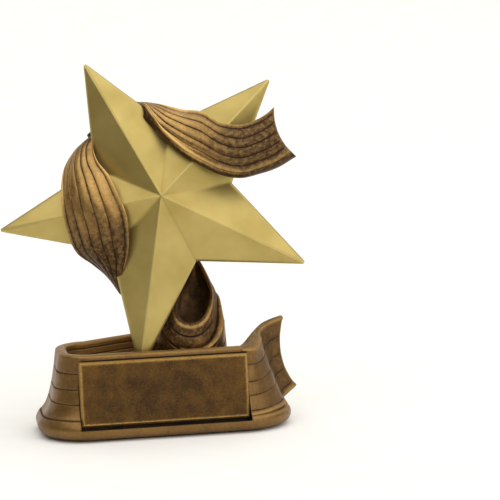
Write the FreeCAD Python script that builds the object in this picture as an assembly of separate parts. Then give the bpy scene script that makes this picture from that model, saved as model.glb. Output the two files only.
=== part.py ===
import FreeCAD, Part
import math
import os

# Star trophy: a faceted star held up by one long ribbon. The ribbon swags over the star's upper
# right arm, crosses behind it, wraps the left arm, passes behind the lower arm and comes down as a
# hollow scroll. It then becomes the wall of the base, which carries a blank plaque and ends in a
# swallow tail. Frame: X to the viewer's right, Y away from the viewer, Z up, origin on the ground
# under the middle of the base. Millimetres and degrees.

# star, in its own frame: X right, Y up along the face, Z out of the front face
starCentre = FreeCAD.Vector(3.5, -3, 152)
starLean = 12
starYaw = 10
armReach = [106, 108, 104, 109, 116]
notchRadius = 48
apexX = 1.6
apexY = -1.3
firstArmAngle = -26
lowerArm = 4
starDepth = 22
starEdge = 1.2
tipTrim = 2.2

# base: a rounded rectangle in plan, with a wall that flares out into a round foot
rimLeft = -69
rimRight = 70
rimFront = -33
rimRear = 27
cornerRadius = 20
wallThickness = 7
rimHeight = 55
coreHeight = 44
rearRise = 6
rearWallEndX = 30
feltThickness = 1
feltInset = 3
footReach = 8.5
footTop = 12
shoulderStartY = -11
shoulderSlope = 60

# outside of the base wall: reach beyond the rim line, height
wallFlare = [(13, 3.5), (14.5, 8), (12.6, 12.5), (8.6, 17), (5.6, 24), (3.1, 34), (1.3, 44)]

# plaque and its seat in the front wall
plaqueCentreX = -2.5
plaqueWidth = 110
plaqueHeight = 42
plaqueThickness = 5
plaqueBottomZ = 9
plaqueLean = 6.8
plaqueBevel = 1.2
tapeThickness = 0.8
tapeInset = 4
seatDepthY = -37.2
seatMargin = 1.5

# scroll behind the lower arm: centre x, centre y, half width, half depth at each height
scrollSections = {
    coreHeight: (19, 0, 22, 18.5),
    58: (19, -1, 21, 17.5),
    72: (20, 1, 19.5, 17),
    86: (24, 6.5, 15.5, 15.5),
    97: (26, 10, 9, 10.5),
    108: (27.5, 13.5, 2.5, 4),
}
scrollWall = 3
scrollFloor = 14
mouthLowY = -17
mouthLowZ = 67.5
mouthSlope = 52
coilReach = 3.2
coilShiftX = 1.2
coilLeftX = 2
coilLowY = -21.7
coilLowZ = 53.3
coilSlope = 50

# ribbon stations: first edge point, second edge point, bulge of the middle, notch of the middle
# the outside faces the viewer who sees the ribbon run to the right with its first edge on top
# the first four ribbons are in the star's frame, the tail is in the trophy's frame
ribbonThickness = 4
ribbonSamples = 5
upperDrapeStations = [
    ((-9, 65, -12), (-9, 59, 5), 2, 0),
    ((0, 63, -7), (-4, 49, 9), 3, 0),
    ((8, 60, -2), (3, 38, 13), 5, 0),
    ((18, 57, 1), (14, 27, 18), 7, 0),
    ((29, 55, 7), (27, 18, 20), 8, 0),
    ((41, 47, 12), (40, 11.5, 20), 7, 0),
    ((54, 45, 15), (54, 9, 18), 6, 1),
    ((64, 48, 14), (67, 12, 17), 5, 2),
    ((71, 52, 13), (79, 16.5, 16), 4, 4),
    ((76.5, 57, 11), (90, 23.5, 15), 3, 5),
]
leftDrapeStations = [
    ((-46, 39, 3), (-44, 43, -11), 2, 0),
    ((-46, 30, 8), (-55, 33, -4), 4, 0),
    ((-38, 22, 13), (-62, 21, 3), 5, 0),
    ((-31, 13, 17), (-64, 8, 8), 7, 0),
    ((-25, 0, 18), (-64, -7, 11), 8, 0),
    ((-20.5, -12, 17), (-61, -22, 10), 8, 0),
    ((-19.5, -24, 14), (-56, -34, 4), 8, 0),
    ((-21, -38, 9), (-45, -42, -4), 6, 0),
    ((-25, -51, 2), (-35, -52, -10), 3, 0),
    ((-25, -61, -6), (-28, -63, -15), 1, 0),
]
upperBackStations = [
    ((-7, 66, -12), (5, 50, -8), 1, 0),
    ((-20, 67, -16), (-7, 37, -18), 3, 0),
    ((-36, 58, -16), (-24, 25, -20), 4, 0),
    ((-49, 45, -11), (-41, 25, -11), 2, 0),
]
lowerBackStations = [
    ((20, -40, -27), (20, -64, -33), 3, 0),
    ((5, -41, -22), (6, -68, -25), 4, 0),
    ((-12, -44, -18), (-10, -69, -19), 3, 0),
    ((-28, -49, -9), (-24, -67, -11), 1, 0),
]
tailStations = [
    ((50, -33, 55), (50, -46, 10), -3, 0),
    ((57.5, -31.5, 55), (63, -42, 10.5), -3, 0),
    ((61.5, -26, 56), (73, -33.5, 11.5), -2.5, 0),
    ((64.5, -18, 59), (80, -22, 12.5), -1.5, 0),
    ((66.5, -9, 62), (82, -11, 13), -1, 1),
    ((71.5, -2, 65.2), (84, -3, 13.5), -1, 2.5),
    ((78, 2, 67.2), (87.5, 1, 16), -1, 5),
    ((86, 6, 68.6), (94, 5, 19.5), 0, 8),
]
# inside of the tail: as thick as the wall at the corner, then a sheet
tailInsideStations = [
    ((50, -26, 55), (50, -27, 10), 0, 0),
    ((54, -20.5, 57), (57, -24, 10.5), 0, 0),
    ((57.5, -16.5, 59.5), (62, -19, 11.5), 0, 0),
    ((60.5, -12.5, 61.3), (66, -13, 12.5), 0, 0),
    ((64, -5.5, 61.8), (72, -5, 13), 0, 1),
    ((69, 1.5, 63.5), (80.5, 1, 13.5), -1, 2.5),
    ((76, 5.7, 65.5), (85.8, 5, 16), -1, 5),
    ((84.2, 9.8, 67.6), (92.3, 9, 19.5), 0, 8),
]

# steel pins in the star's frame: x, y, lowest z, highest z
pinRadius = 1.5
drapePins = [(25, 38, 3, 19), (46, 34, 1, 18), (-45, 8, 1, 19), (-42, -14, 4, 20)]
starDowels = [(2, -47, -23, -4), (-12, -47, -17, -5)]
rodStart = 70
rodEnd = 118

# bolt that clamps the scroll to the base
boltX = 19
boltY = 0
boltRadius = 3
boltHeadRadius = 5
boltHeadHeight = 4
keyRadius = 2.4
keyDepth = 2
washerRadius = 8
washerThickness = 1.5
insertRadius = 4.5
insertLength = 12
pocketRadius = 9
pocketTop = 14

# larger than the trophy, for cutting tools
far = 200


def vec(x, y, z=0):
    return FreeCAD.Vector(x, y, z)


def polar(radius, angle):
    return vec(radius * math.cos(math.radians(angle)), radius * math.sin(math.radians(angle)))


def box(low, high):
    size = high.sub(low)
    return Part.makeBox(size.x, size.y, size.z, low)


def largest(shape):
    return max(shape.Solids, key=lambda solid: solid.Volume)


def outwardSolid(faces):
    shell = Part.makeShell(faces)
    shell.sewShape()
    solid = Part.makeSolid(shell)
    if solid.Volume < 0:
        solid.reverse()
    return solid


def fromStarFrame(shape):
    turn = FreeCAD.Rotation(vec(0, 0, 1), -starYaw)
    turn = turn.multiply(FreeCAD.Rotation(vec(1, 0, 0), 90 - starLean))
    return shape.transformed(FreeCAD.Placement(starCentre, turn).toMatrix(), True)


# ribbons
def gridNormals(grid):
    lastRow = len(grid) - 1
    lastColumn = len(grid[0]) - 1
    normals = []
    for i in range(lastRow + 1):
        row = []
        for j in range(lastColumn + 1):
            along = grid[min(i + 1, lastRow)][j].sub(grid[max(i - 1, 0)][j])
            across = grid[i][min(j + 1, lastColumn)].sub(grid[i][max(j - 1, 0)])
            row.append(across.cross(along).normalize())
        normals.append(row)
    return normals


def ribbonFace(stations):
    # points on the outside of a ribbon: straight across first, then bulged and notched
    flat = []
    for upper, lower, bulge, notch in stations:
        shares = [j / (ribbonSamples - 1) for j in range(ribbonSamples)]
        flat.append([vec(*upper).multiply(1 - t).add(vec(*lower).multiply(t)) for t in shares])
    normals = gridNormals(flat)
    middle = ribbonSamples // 2
    grid = []
    for i, (upper, lower, bulge, notch) in enumerate(stations):
        before = flat[max(i - 1, 0)][middle]
        after = flat[min(i + 1, len(flat) - 1)][middle]
        along = after.sub(before).normalize()
        row = []
        for j in range(ribbonSamples):
            crown = 1 - (2 * j / (ribbonSamples - 1) - 1) ** 2
            lift = vec(*normals[i][j]).multiply(bulge * crown)
            row.append(flat[i][j].add(lift).sub(vec(*along).multiply(notch * crown)))
        grid.append(row)
    return grid


def sheetBetween(front, back):
    faces = []
    for grid in (front, back):
        surface = Part.BSplineSurface()
        surface.interpolate(grid)
        faces.append(surface.toShape())
    for frontEdge, backEdge in zip(faces[0].Edges, faces[1].Edges):
        faces.append(Part.makeRuledSurface(frontEdge, backEdge))
    return outwardSolid(faces)


def ribbon(stations):
    front = ribbonFace(stations)
    back = []
    for row, normals in zip(front, gridNormals(front)):
        back.append([p.sub(vec(*n).multiply(ribbonThickness)) for p, n in zip(row, normals)])
    return sheetBetween(front, back)


# star
def starOutline():
    points = []
    for arm, reach in enumerate(armReach):
        angle = firstArmAngle + 72 * arm
        points.append(polar(reach, angle))
        points.append(polar(notchRadius, angle + 36))
    return points


def starHalf(depth):
    # a narrow land along the edge, then ten facets that meet at the apex
    outline = starOutline()
    land = vec(0, 0, math.copysign(starEdge, depth))
    raised = [point.add(land) for point in outline]
    apex = vec(apexX, apexY, depth)
    faces = [Part.Face(Part.makePolygon(outline + outline[:1]))]
    for i in range(len(outline)):
        k = (i + 1) % len(outline)
        side = [outline[i], outline[k], raised[k], raised[i], outline[i]]
        facet = [raised[i], raised[k], apex, raised[i]]
        faces.append(Part.Face(Part.makePolygon(side)))
        faces.append(Part.Face(Part.makePolygon(facet)))
    return outwardSolid(faces)


def makeStar():
    star = starHalf(starDepth).fuse(starHalf(-starDepth)).removeSplitter()
    for arm, reach in enumerate(armReach):
        beyond = box(vec(reach - tipTrim, -10, -10), vec(reach + 10, 10, 10))
        beyond.rotate(vec(0, 0, 0), vec(0, 0, 1), firstArmAngle + 72 * arm)
        star = star.cut(beyond)
    return star


# base
def wallProfile(top):
    # section of the wall in the XZ plane, with X counted outwards from the rim line
    foot = vec(footReach, 0, feltThickness)
    shoulder = vec(0, 0, rimHeight - 2)
    outerTop = vec(0, 0, top - 2)
    innerTop = vec(-wallThickness, 0, top - 2)
    innerFoot = vec(-wallThickness, 0, feltThickness)
    flare = Part.BSplineCurve()
    flare.interpolate([foot] + [vec(reach, 0, height) for reach, height in wallFlare] + [shoulder])
    edges = [flare.toShape()]
    if top > rimHeight:
        edges.append(Part.makeLine(shoulder, outerTop))
    edges.append(Part.Arc(outerTop, vec(-wallThickness / 2, 0, top), innerTop).toShape())
    edges.append(Part.makeLine(innerTop, innerFoot))
    edges.append(Part.makeLine(innerFoot, foot))
    return Part.Face(Part.Wire(edges))


def straightWall(top, start, end, outward):
    # the outward angle is the direction that the wall's outside faces
    profile = wallProfile(top)
    profile.rotate(vec(0, 0, 0), vec(0, 0, 1), outward)
    profile.translate(start)
    return profile.extrude(end.sub(start))


def cornerWall(top, centre, fromAngle, toAngle):
    profile = wallProfile(top)
    profile.translate(vec(cornerRadius, 0, 0))
    profile.rotate(vec(0, 0, 0), vec(0, 0, 1), fromAngle)
    profile.translate(centre)
    return profile.revolve(centre, vec(0, 0, 1), toAngle - fromAngle)


def cornerCentre(rightSide, rearSide):
    x = rimRight - cornerRadius if rightSide else rimLeft + cornerRadius
    y = rimRear - cornerRadius if rearSide else rimFront + cornerRadius
    return vec(x, y)


def roundedBlock(offset, fromZ, toZ):
    # the rim line moved out by the offset, as a block
    radius = cornerRadius + offset
    low = cornerCentre(False, False).add(vec(0, 0, fromZ))
    high = cornerCentre(True, True).add(vec(0, 0, toZ))
    block = box(low.sub(vec(radius, 0)), high.add(vec(radius, 0)))
    block = block.fuse(box(low.sub(vec(0, radius)), high.add(vec(0, radius))))
    for rightSide in (False, True):
        for rearSide in (False, True):
            centre = cornerCentre(rightSide, rearSide).add(vec(0, 0, fromZ))
            block = block.fuse(Part.makeCylinder(radius, toZ - fromZ, centre))
    return block.removeSplitter()


def plaqueBlock(margin, gap, thickness):
    # a block as large as the plaque and its margin, a gap in front of the seat, leaning back with it
    half = plaqueWidth / 2 + margin
    low = vec(plaqueCentreX - half, seatDepthY - gap - thickness, -margin)
    block = box(low, vec(plaqueCentreX + half, seatDepthY - gap, plaqueHeight + margin))
    block.rotate(vec(0, seatDepthY, 0), vec(1, 0, 0), -plaqueLean)
    block.translate(vec(0, 0, plaqueBottomZ))
    return block


def makePlaque():
    plate = plaqueBlock(0, tapeThickness, plaqueThickness)
    front = min(plate.Faces, key=lambda face: face.CenterOfMass.y)
    return plate.makeChamfer(plaqueBevel, front.Edges)


def makeFrontWall():
    start = vec(cornerCentre(False, False).x, rimFront)
    end = vec(cornerCentre(True, False).x, rimFront)
    return straightWall(rimHeight, start, end, -90)


def makeLeftTurn():
    front = cornerCentre(False, False)
    rear = cornerCentre(False, True)
    turn = straightWall(rimHeight, vec(rimLeft, front.y), vec(rimLeft, rear.y), 180)
    turn = turn.fuse(cornerWall(rimHeight, front, 180, 270))
    return turn.fuse(cornerWall(rimHeight, rear, 90, 180)).removeSplitter()


def makeRearWall():
    # its top climbs towards the scroll
    start = vec(cornerCentre(False, True).x, rimRear)
    wall = straightWall(rimHeight + 20, start, vec(rearWallEndX, rimRear), 90)
    above = box(vec(start.x - far, 0, rimHeight), vec(start.x + far, far, rimHeight + far))
    above.rotate(vec(start.x, 0, rimHeight), vec(0, 1, 0), -rearRise)
    return wall.cut(above)


def makeCore():
    # the filling of the base, its foot on the right, and the shoulder behind the swallow tail
    front = cornerCentre(True, False)
    rear = cornerCentre(True, True)
    low = cornerWall(rimHeight, front, -90, 0)
    low = low.fuse(straightWall(rimHeight, vec(rimRight, front.y), vec(rimRight, rear.y), 0))
    low = low.fuse(cornerWall(rimHeight, rear, 0, 90))
    low = low.fuse(straightWall(rimHeight, vec(rearWallEndX, rimRear), vec(rear.x, rimRear), 90))
    low = low.cut(box(vec(-far, -far, coreHeight), vec(far, far, far)))
    foot = box(vec(-far, -far, 0), vec(far, far, footTop))
    low = low.cut(aboveSlope(shoulderStartY, footTop, shoulderSlope).cut(foot))
    return roundedBlock(-wallThickness, feltThickness, coreHeight).fuse(low).removeSplitter()


# scroll
def scrollLoft(reach, shiftX=0):
    wires = []
    for height, (x, y, halfWidth, halfDepth) in scrollSections.items():
        minor = min(halfWidth, halfDepth) + reach
        major = max(halfWidth, halfDepth) + reach
        if minor > 1:
            wire = Part.Wire(Part.Ellipse(vec(0, 0, 0), major, minor).toShape())
            if halfDepth > halfWidth:
                wire.rotate(vec(0, 0, 0), vec(0, 0, 1), 90)
            wire.translate(vec(x + shiftX, y, height))
            wires.append(wire)
    return Part.makeLoft(wires, True, False)


def aboveSlope(lowY, lowZ, slope):
    # everything above a plane that climbs towards the rear
    block = box(vec(-far, -far, 0), vec(far, far, far))
    block.rotate(vec(0, 0, 0), vec(1, 0, 0), slope)
    block.translate(vec(0, lowY, lowZ))
    return block


def makeScroll():
    floor = box(vec(-far, -far, 0), vec(far, far, coreHeight + scrollFloor))
    hollow = scrollLoft(-scrollWall).cut(floor)
    return scrollLoft(0).cut(hollow).cut(aboveSlope(mouthLowY, mouthLowZ, mouthSlope))


def makeCoil():
    # a second turn of the ribbon outside the scroll's foot
    coil = scrollLoft(coilReach, coilShiftX).cut(scrollLoft(0))
    coil = coil.cut(aboveSlope(coilLowY, coilLowZ, coilSlope))
    return coil.cut(box(vec(-far, -far, 0), vec(coilLeftX, far, far)))


# pins, rod, bolt
def pinGroup(pins):
    return Part.makeCompound(
        [Part.makeCylinder(pinRadius, top - low, vec(x, y, low)) for x, y, low, top in pins]
    )


def makeFootRod():
    angle = firstArmAngle + 72 * lowerArm
    return Part.makeCylinder(pinRadius, rodEnd - rodStart, polar(rodStart, angle), polar(1, angle))


def post(radius, fromZ, toZ):
    return Part.makeCylinder(radius, toZ - fromZ, vec(boltX, boltY, fromZ))


def makeBolt():
    underHead = pocketTop - washerThickness
    headBottom = underHead - boltHeadHeight
    bolt = post(boltRadius, underHead, coreHeight + insertLength)
    bolt = bolt.fuse(post(boltHeadRadius, headBottom, underHead))
    return bolt.cut(post(keyRadius, headBottom, headBottom + keyDepth))


def makeWasher():
    return post(washerRadius, pocketTop - washerThickness, pocketTop).cut(post(boltRadius, 0, far))


def makeInsert():
    top = coreHeight + insertLength
    return post(insertRadius, coreHeight, top).cut(post(boltRadius, 0, far))


def export(name, shape):
    solids = shape.Solids
    result = solids[0] if len(solids) == 1 else Part.makeCompound(solids)
    result.exportStep("parts/" + name + ".step")
    state = "valid" if result.isValid() else "INVALID"
    print(name, len(solids), state, round(result.Volume), result.BoundBox)


def makeStarGroup():
    # returns the pieces that sit on the star, already in the trophy's frame
    body = makeStar()
    drapeWork = pinGroup(drapePins)
    dowelWork = pinGroup(starDowels)
    rod = makeFootRod()
    steel = drapeWork.fuse(dowelWork).fuse(rod)
    pieces = {
        "upper_drape": upperDrapeStations,
        "left_drape": leftDrapeStations,
        "upper_back_ribbon": upperBackStations,
        "lower_back_ribbon": lowerBackStations,
    }
    taken = body
    group = {}
    for name, stations in pieces.items():
        piece = largest(ribbon(stations).cut(taken))
        taken = taken.fuse(piece)
        group[name] = fromStarFrame(piece.cut(steel))
    group["star"] = fromStarFrame(body.cut(steel))
    group["drape_pins"] = fromStarFrame(drapeWork)
    group["star_dowels"] = fromStarFrame(dowelWork)
    group["star_foot_rod"] = fromStarFrame(rod)
    return group


def makeTrophy():
    nodes = makeStarGroup()
    seat = plaqueBlock(seatMargin, 0, far)
    tail = sheetBetween(ribbonFace(tailStations), ribbonFace(tailInsideStations)).cut(seat)
    bolt = makeBolt()
    insert = makeInsert()
    scroll = makeScroll().cut(insert).cut(bolt)
    rearWall = makeRearWall()
    core = makeCore().cut(tail).cut(nodes["star"]).cut(nodes["star_foot_rod"])
    core = core.cut(post(pocketRadius, 0, pocketTop)).cut(post(boltRadius, 0, far)).cut(seat)
    frontWall = makeFrontWall().cut(seat).cut(tail)
    coil = makeCoil().cut(rearWall)
    nodes["lower_back_ribbon"] = largest(nodes["lower_back_ribbon"].cut(scroll).cut(coil))
    nodes["base_tail"] = tail
    nodes["scroll"] = scroll
    nodes["scroll_coil"] = coil
    nodes["base_rear_wall"] = rearWall
    nodes["base_front_wall"] = frontWall
    nodes["base_left_turn"] = makeLeftTurn().cut(seat)
    nodes["base_core"] = core
    nodes["plaque"] = makePlaque()
    nodes["plaque_tape"] = plaqueBlock(-tapeInset, 0, tapeThickness)
    nodes["column_bolt"] = bolt
    nodes["bolt_washer"] = makeWasher()
    nodes["column_insert"] = insert
    nodes["felt_pad"] = roundedBlock(footReach - feltInset, 0, feltThickness)
    return nodes


os.makedirs("parts", exist_ok=True)
for nodeName, nodeShape in makeTrophy().items():
    export(nodeName, nodeShape)
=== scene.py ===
import math

import bmesh
import bpy
import numpy as np
from mathutils import Matrix, Vector


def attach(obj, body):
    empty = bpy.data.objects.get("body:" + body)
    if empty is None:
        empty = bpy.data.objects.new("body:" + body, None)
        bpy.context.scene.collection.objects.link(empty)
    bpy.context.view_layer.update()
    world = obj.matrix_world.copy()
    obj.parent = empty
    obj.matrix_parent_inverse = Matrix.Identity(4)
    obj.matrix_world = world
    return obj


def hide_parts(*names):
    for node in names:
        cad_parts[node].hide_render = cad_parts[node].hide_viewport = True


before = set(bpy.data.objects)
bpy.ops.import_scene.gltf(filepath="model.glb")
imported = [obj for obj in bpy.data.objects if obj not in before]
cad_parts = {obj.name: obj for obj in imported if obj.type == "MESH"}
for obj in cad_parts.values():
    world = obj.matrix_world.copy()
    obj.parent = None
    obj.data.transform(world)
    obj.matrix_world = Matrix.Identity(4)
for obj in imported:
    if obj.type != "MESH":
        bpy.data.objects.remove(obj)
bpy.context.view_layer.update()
print("frame loaded:", len(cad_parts), "nodes")

mm = 0.001
random = np.random.default_rng(7)


# helpers for numbers and meshes
def smooth(values, places):
    # a curve through the values, read at fractional places (0 is the first value)
    values = np.array(values, float)
    last = len(values) - 1
    padded = np.concatenate([[2 * values[0] - values[1]], values, [2 * values[-1] - values[-2]]])
    places = np.clip(np.array(places, float), 0, last)
    start = np.minimum(places.astype(int), last - 1)
    t = places - start
    if values.ndim > 1:
        t = t[:, None]
    a, b, c, d = (padded[start + k] for k in range(4))
    bend = (2 * a - 5 * b + 4 * c - d) * t**2 + (3 * b - a - 3 * c + d) * t**3
    return 0.5 * (2 * b + (c - a) * t + bend)


def unit(vectors):
    return vectors / np.maximum(np.linalg.norm(vectors, axis=-1, keepdims=True), 1e-9)


def bell(distance, width):
    return np.exp(-((distance / width) ** 2))


def runLength(points, axis=0):
    # distance from the start, along one axis of an array of points
    steps = np.linalg.norm(np.diff(points, axis=axis), axis=-1)
    return np.insert(np.cumsum(steps, axis=axis), 0, 0, axis=axis)


def spread(coords):
    # one pair of texture coordinates per point
    return np.stack(np.broadcast_arrays(*coords), axis=-1)


def addObject(name, data):
    thing = bpy.data.objects.new(name, data)
    bpy.context.scene.collection.objects.link(thing)
    return thing


def makePiece(name, points, faces, marks, coords, sharp=40):
    # points in millimetres; marks are numbers per point that the materials read
    mesh = bpy.data.meshes.new(name)
    mesh.from_pydata((np.array(points) * mm).tolist(), [], faces)
    mesh.validate()
    shell = bmesh.new()
    shell.from_mesh(mesh)
    bmesh.ops.recalc_face_normals(shell, faces=shell.faces)
    shell.to_mesh(mesh)
    shell.free()
    for key, values in marks.items():
        layer = mesh.attributes.new(key, "FLOAT", "POINT")
        layer.data.foreach_set("value", np.array(values, np.float32))
    layer = mesh.uv_layers.new(name="UVMap")
    corner = np.zeros(len(mesh.loops), np.int32)
    mesh.loops.foreach_get("vertex_index", corner)
    layer.data.foreach_set("uv", (np.array(coords)[corner] * mm).astype(np.float32).ravel())
    mesh.shade_smooth()
    mesh.set_sharp_from_angle(angle=math.radians(sharp))
    return addObject(name, mesh)


def gridFaces(index, flip=False):
    a, b = index[:-1, :-1].ravel(), index[:-1, 1:].ravel()
    c, d = index[1:, 1:].ravel(), index[1:, :-1].ravel()
    order = (d, c, b, a) if flip else (a, b, c, d)
    return np.stack(order, axis=1).tolist()


def sheetPiece(name, front, back, marks, coords):
    # a closed sheet: the two sides share the points of their border
    rows, columns = front.shape[:2]
    frontIndex = np.arange(rows * columns).reshape(rows, columns)
    backIndex = frontIndex.copy()
    inner = np.arange((rows - 2) * (columns - 2)).reshape(rows - 2, columns - 2)
    backIndex[1:-1, 1:-1] = rows * columns + inner
    points = np.concatenate([front.reshape(-1, 3), back[1:-1, 1:-1].reshape(-1, 3)])
    both = {}
    for key, (onFront, onBack) in marks.items():
        both[key] = np.concatenate([onFront.ravel(), onBack[1:-1, 1:-1].ravel()])
    uv = np.concatenate([coords.reshape(-1, 2), coords[1:-1, 1:-1].reshape(-1, 2)])
    faces = gridFaces(frontIndex) + gridFaces(backIndex, flip=True)
    return makePiece(name, points, faces, both, uv, sharp=60)


def ringPiece(name, rings, marks, coords, sharp=40, paired=False):
    # closed rings of points; the ends are flat, or point k is paired with the k-th from the end
    rows, columns = rings.shape[:2]
    index = np.arange(rows * columns).reshape(rows, columns)
    faces = gridFaces(np.concatenate([index, index[:, :1]], axis=1))
    if paired:
        half = columns // 2
        for row, flip in ((0, True), (rows - 1, False)):
            pairs = np.stack([index[row, :half], index[row, half:][::-1]], axis=1)
            faces += gridFaces(pairs, flip)
    else:
        faces.append(index[0][::-1].tolist())
        faces.append(index[-1].tolist())
    flat = {key: values.ravel() for key, values in marks.items()}
    return makePiece(name, rings.reshape(-1, 3), faces, flat, coords.reshape(-1, 2), sharp)


def finishPiece(piece, material, slotName, *replaced):
    piece.data.materials.append(material)
    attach(piece, "root")
    if replaced:
        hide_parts(*replaced)


# helpers for materials
def colour(code):
    # sRGB hex to linear
    parts = [int(code[i:i + 2], 16) / 255 for i in (1, 3, 5)]
    linear = [p / 12.92 if p <= 0.04045 else ((p + 0.055) / 1.055) ** 2.4 for p in parts]
    return (*linear, 1.0)


def setInputs(tree, node, values):
    for key, value in values.items():
        if isinstance(value, bpy.types.NodeSocket):
            tree.links.new(value, node.inputs[key])
        else:
            node.inputs[key].default_value = value


def addNode(tree, kind, values=None, **settings):
    node = tree.nodes.new(kind)
    for key, value in settings.items():
        setattr(node, key, value)
    setInputs(tree, node, values or {})
    return node


def newMaterial(name, surface):
    material = bpy.data.materials.new(name)
    material.use_nodes = True
    tree = material.node_tree
    shader = tree.nodes["Principled BSDF"]
    setInputs(tree, shader, surface)
    return material, tree, shader


def grainSize(millimetres):
    # scale of a noise whose features are about this large
    return 1 / (millimetres * mm)


# materials
bronzeLook = {
    "body": "#785527",
    "shade": "#3E2812",
    "gold": "#D0A864",
    "dirt": "#22140A",
    "cloudSize": 14,
    "speckSize": 2.4,
    "strokeWidth": 0.7,
    "strokeLength": 9,
    "cloudAmount": 1.0,
    "speckAmount": 0.15,
    "strokeAmount": 0.28,
    "metallic": 0.75,
    "smoothest": 0.24,
    "roughest": 0.46,
}


def antiqueBronzeResin(name, **changes):
    # cast polyester resin, sprayed bronze, washed dark and rubbed back: golden on the ribs and beads,
    # brown on the flats, nearly black in the grooves
    look = {**bronzeLook, **changes}
    material, tree, shader = newMaterial(name, {})
    place = addNode(tree, "ShaderNodeTexCoord")
    cloud = addNode(tree, "ShaderNodeTexNoise", {
        "Vector": place.outputs["Object"], "Scale": grainSize(look["cloudSize"]), "Detail": 5.0,
        "Roughness": 0.6})
    speck = addNode(tree, "ShaderNodeTexNoise", {
        "Vector": place.outputs["Object"], "Scale": grainSize(look["speckSize"]), "Detail": 3.0,
        "Roughness": 0.7})
    # rubbing strokes run across the ribbon, finer than this on the real finish
    stretched = addNode(tree, "ShaderNodeMapping", {
        "Vector": place.outputs["UV"],
        "Scale": (grainSize(look["strokeWidth"]), grainSize(look["strokeLength"]), 1.0)})
    stroke = addNode(tree, "ShaderNodeTexNoise", {
        "Vector": stretched.outputs["Vector"], "Scale": 1.0, "Detail": 2.0, "Roughness": 0.6})
    # besides wear, the rubbed marks carry painted highlights, and the groove and stain marks carry
    # painted shade on hidden sides, in hollows and under rolled edges
    groove = addNode(tree, "ShaderNodeAttribute", attribute_name="groove")
    rubbedAndSheen = addNode(tree, "ShaderNodeAttribute", attribute_name="rubbedAndSheen")
    stainAndShade = addNode(tree, "ShaderNodeAttribute", attribute_name="stainAndShade")
    cloudShare = addNode(tree, "ShaderNodeMapRange", {
        "Value": cloud.outputs["Fac"], "From Min": 0.36, "From Max": 0.66,
        "To Min": 0.0, "To Max": look["cloudAmount"]})
    speckShare = addNode(tree, "ShaderNodeMapRange", {
        "Value": speck.outputs["Fac"], "From Min": 0.35, "From Max": 0.7,
        "To Min": -look["speckAmount"], "To Max": look["speckAmount"]})
    strokeShare = addNode(tree, "ShaderNodeMapRange", {
        "Value": stroke.outputs["Fac"], "From Min": 0.3, "From Max": 0.7,
        "To Min": -look["strokeAmount"], "To Max": look["strokeAmount"]})
    mottle = cloudShare.outputs["Result"]
    for share in (speckShare, strokeShare):
        mottle = addNode(tree, "ShaderNodeMath", {0: mottle, 1: share.outputs["Result"]}).outputs[0]
    mottle = addNode(tree, "ShaderNodeMath", {0: mottle, 1: stainAndShade.outputs["Fac"]}, use_clamp=True)
    tint = addNode(tree, "ShaderNodeMix", {
        "Factor": mottle.outputs[0], 6: colour(look["body"]), 7: colour(look["shade"])},
        data_type="RGBA")
    goldShare = addNode(tree, "ShaderNodeMath", {
        0: rubbedAndSheen.outputs["Fac"], 1: speckShare.outputs["Result"]}, use_clamp=True)
    for factor, code in ((goldShare.outputs[0], look["gold"]), (groove.outputs["Fac"], look["dirt"])):
        tint = addNode(tree, "ShaderNodeMix", {
            "Factor": factor, 6: tint.outputs[2], 7: colour(code)}, data_type="RGBA")
    metal = addNode(tree, "ShaderNodeMapRange", {
        "Value": groove.outputs["Fac"], "To Min": look["metallic"], "To Max": 0.1})
    dull = addNode(tree, "ShaderNodeMapRange", {
        "Value": mottle.outputs[0], "To Min": look["smoothest"], "To Max": look["roughest"]})
    dull = addNode(tree, "ShaderNodeMath", {
        0: dull.outputs["Result"], 1: groove.outputs["Fac"]}, use_clamp=True)
    height = addNode(tree, "ShaderNodeMath", {0: stroke.outputs["Fac"], 1: speck.outputs["Fac"]})
    bump = addNode(tree, "ShaderNodeBump", {
        "Height": height.outputs[0], "Strength": 0.35, "Distance": 0.06 * mm})
    setInputs(tree, shader, {
        "Base Color": tint.outputs[2], "Metallic": metal.outputs["Result"],
        "Roughness": dull.outputs[0], "Normal": bump.outputs["Normal"]})
    return material


starLook = {
    "body": "#BBA664",
    "shade": "#AA9554",
    "edge": "#C9B678",
    "valley": "#6E5522",
    "cloudSize": 30,
    "grain": 0.5,
    "metallic": 0.8,
    "smoothest": 0.35,
    "roughest": 0.44,
}


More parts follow.
